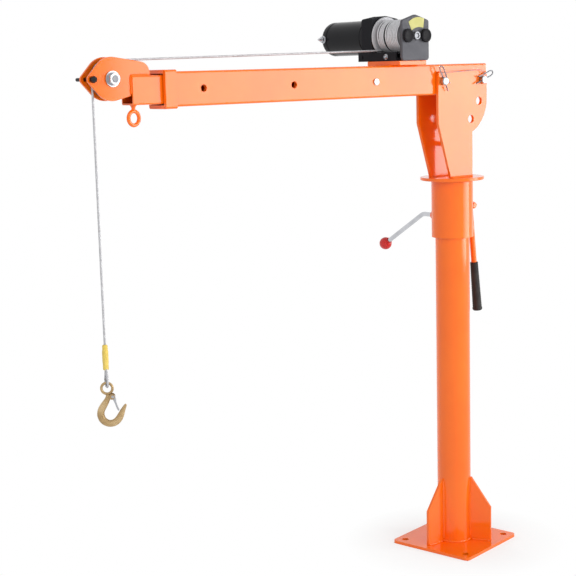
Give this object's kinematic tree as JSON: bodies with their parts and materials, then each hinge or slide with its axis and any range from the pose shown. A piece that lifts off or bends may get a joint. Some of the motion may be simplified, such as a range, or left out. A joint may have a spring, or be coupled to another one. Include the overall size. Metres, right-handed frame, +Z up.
{
  "type": "pickup truck crane",
  "caption": "Bolt-down pickup bed crane: round post, swivel head with indexing cheeks, telescoping box boom with an electric rope winch, a tip sheave and a latched lifting hook.",
  "frame": {"origin": "centre of the base plate's underside, on the post's axis", "axes": "+Z up along the post; +X along the boom towards its tip; +Y towards the winch's gear housing"},
  "size_m": [1.2234, 0.4126, 1.3938],
  "materials": {
    "orange_paint": "bright gloss paint",
    "zinc_plate": "bright zinc plate",
    "bare_steel": "turned steel",
    "black_paint": "gloss black paint",
    "dark_casting": "dark grey painted casting",
    "wire_rope": "galvanised wire rope",
    "red_ball": "glossy moulded ball",
    "dark_knob": "moulded, near black",
    "grip_rubber": "soft matt grip",
    "gold_chromate": "yellow chromate on forged steel",
    "yellow_sleeve": "shrunk plastic sleeve",
    "pale_yellow": "pale yellow bare sheet",
    "bronze": "plain bearing bronze",
    "nylon": "plain nylon"
  },
  "bodies": {
    "base": {"base_plate": "orange_paint", "gussets": "orange_paint", "post_tube": "orange_paint", "post_cap": "orange_paint", "thrust_washer": "nylon"},
    "head": {"swivel_collar": "orange_paint", "swivel_bushes": "nylon", "head_flange": "orange_paint", "near_cheek": "orange_paint", "far_cheek": "orange_paint", "cheek_tie": "orange_paint", "pivot_pin": "zinc_plate", "lock_pin": "zinc_plate", "hitch_clips": "zinc_plate", "handle_bracket": "orange_paint", "handle_bolt": "orange_paint", "lock_boss": "orange_paint"},
    "handle": {"handle_bar": "orange_paint", "handle_grip": "grip_rubber"},
    "lock_lever": {"lever_rod": "zinc_plate", "lever_ball": "red_ball", "lock_pad": "nylon"},
    "boom": {"boom_tube": "orange_paint", "boom_band": "orange_paint", "slide_pads": "nylon", "pivot_sleeve": "orange_paint", "winch_plate": "orange_paint", "winch_base": "black_paint", "winch_bolts": "zinc_plate", "motor_housing": "black_paint", "motor_can": "black_paint", "motor_end_cap": "black_paint", "motor_terminals": "zinc_plate", "gear_housing": "dark_casting", "drum_bushes": "bronze", "clutch_dial": "pale_yellow", "rope_top_run": "wire_rope"},
    "drum": {"winch_drum": "zinc_plate", "rope_core": "wire_rope", "rope_winding": "wire_rope"},
    "clutch": {"clutch_knob": "dark_knob", "clutch_hub": "zinc_plate"},
    "extension": {"extension_tube": "orange_paint", "sheave_plates": "orange_paint", "axle_bolt": "zinc_plate", "axle_nut": "zinc_plate", "axle_washers": "zinc_plate", "keeper_bolt": "black_paint", "keeper_nut": "black_paint", "eye_bolt": "orange_paint", "rope_over_sheave": "wire_rope"},
    "sheave": {"sheave": "bare_steel", "sheave_bush": "bronze"},
    "line": {"rope_drop": "wire_rope"},
    "hook_block": {"rope_sleeve": "yellow_sleeve", "rope_eye": "wire_rope", "thimble": "zinc_plate"},
    "hook": {"lifting_hook": "gold_chromate", "latch_pin": "zinc_plate"},
    "latch": {"hook_latch": "zinc_plate"}
  },
  "joints": [
    {"name": "head_swivel", "type": "hinge", "parent": "base", "child": "head", "pos_m": [0, 0, 0.985], "axis": [0, 0, 1], "continuous": true},
    {"name": "boom_tilt", "type": "hinge", "parent": "head", "child": "boom", "pos_m": [0.072, 0, 1.231], "axis": [0, -1, 0], "range_deg": [0, 44]},
    {"name": "boom_extend", "type": "slide", "parent": "boom", "child": "extension", "axis": [1, 0, 0], "range_m": [0, 0.255], "deforming": ["rope_top_run"]},
    {"name": "drum_spin", "type": "hinge", "parent": "boom", "child": "drum", "pos_m": [0.191, 0.002, 1.3435], "axis": [0, 1, 0], "range_deg": [0, 720]},
    {"name": "clutch_turn", "type": "hinge", "parent": "boom", "child": "clutch", "pos_m": [0.191, 0.068, 1.3435], "axis": [0, 1, 0], "range_deg": [0, 90]},
    {"name": "sheave_spin", "type": "hinge", "parent": "extension", "child": "sheave", "pos_m": [1.024, 0, 1.2605], "axis": [0, -1, 0], "range_deg": [0, 618]},
    {"name": "line_hang", "type": "hinge", "parent": "extension", "child": "line", "pos_m": [1.024, 0, 1.2605], "axis": [0, 1, 0], "range_deg": [0, 44]},
    {"name": "hook_lift", "type": "slide", "parent": "line", "child": "hook_block", "axis": [0, 0, 1], "range_m": [0, 0.415], "deforming": ["rope_drop"]},
    {"name": "hook_swing", "type": "hinge", "parent": "hook_block", "child": "hook", "pos_m": [1.0625, 0, 0.6005], "axis": [0.6239, 0.7815, 0], "range_deg": [-40, 40]},
    {"name": "latch_open", "type": "hinge", "parent": "hook", "child": "latch", "pos_m": [1.05273, 0.0078, 0.5825], "axis": [-0.6239, -0.7815, 0], "range_deg": [0, 35], "stiffness_Nm_per_rad": 0.05, "springref_deg": -28.65},
    {"name": "lever_turn", "type": "hinge", "parent": "head", "child": "lock_lever", "pos_m": [0, -0.103, 0.88], "axis": [0, 1, 0], "range_deg": [-180, 180]},
    {"name": "handle_fold", "type": "hinge", "parent": "head", "child": "handle", "pos_m": [-0.066, 0, 0.905], "axis": [0, 1, 0], "range_deg": [0, 90]}
  ],
  "couplings": [
    {"joint": "hook_lift", "follows": "drum_spin", "m_per_rad": 0.033},
    {"joint": "sheave_spin", "follows": "drum_spin", "ratio": 0.85714},
    {"joint": "line_hang", "follows": "boom_tilt", "ratio": 1}
  ]
}
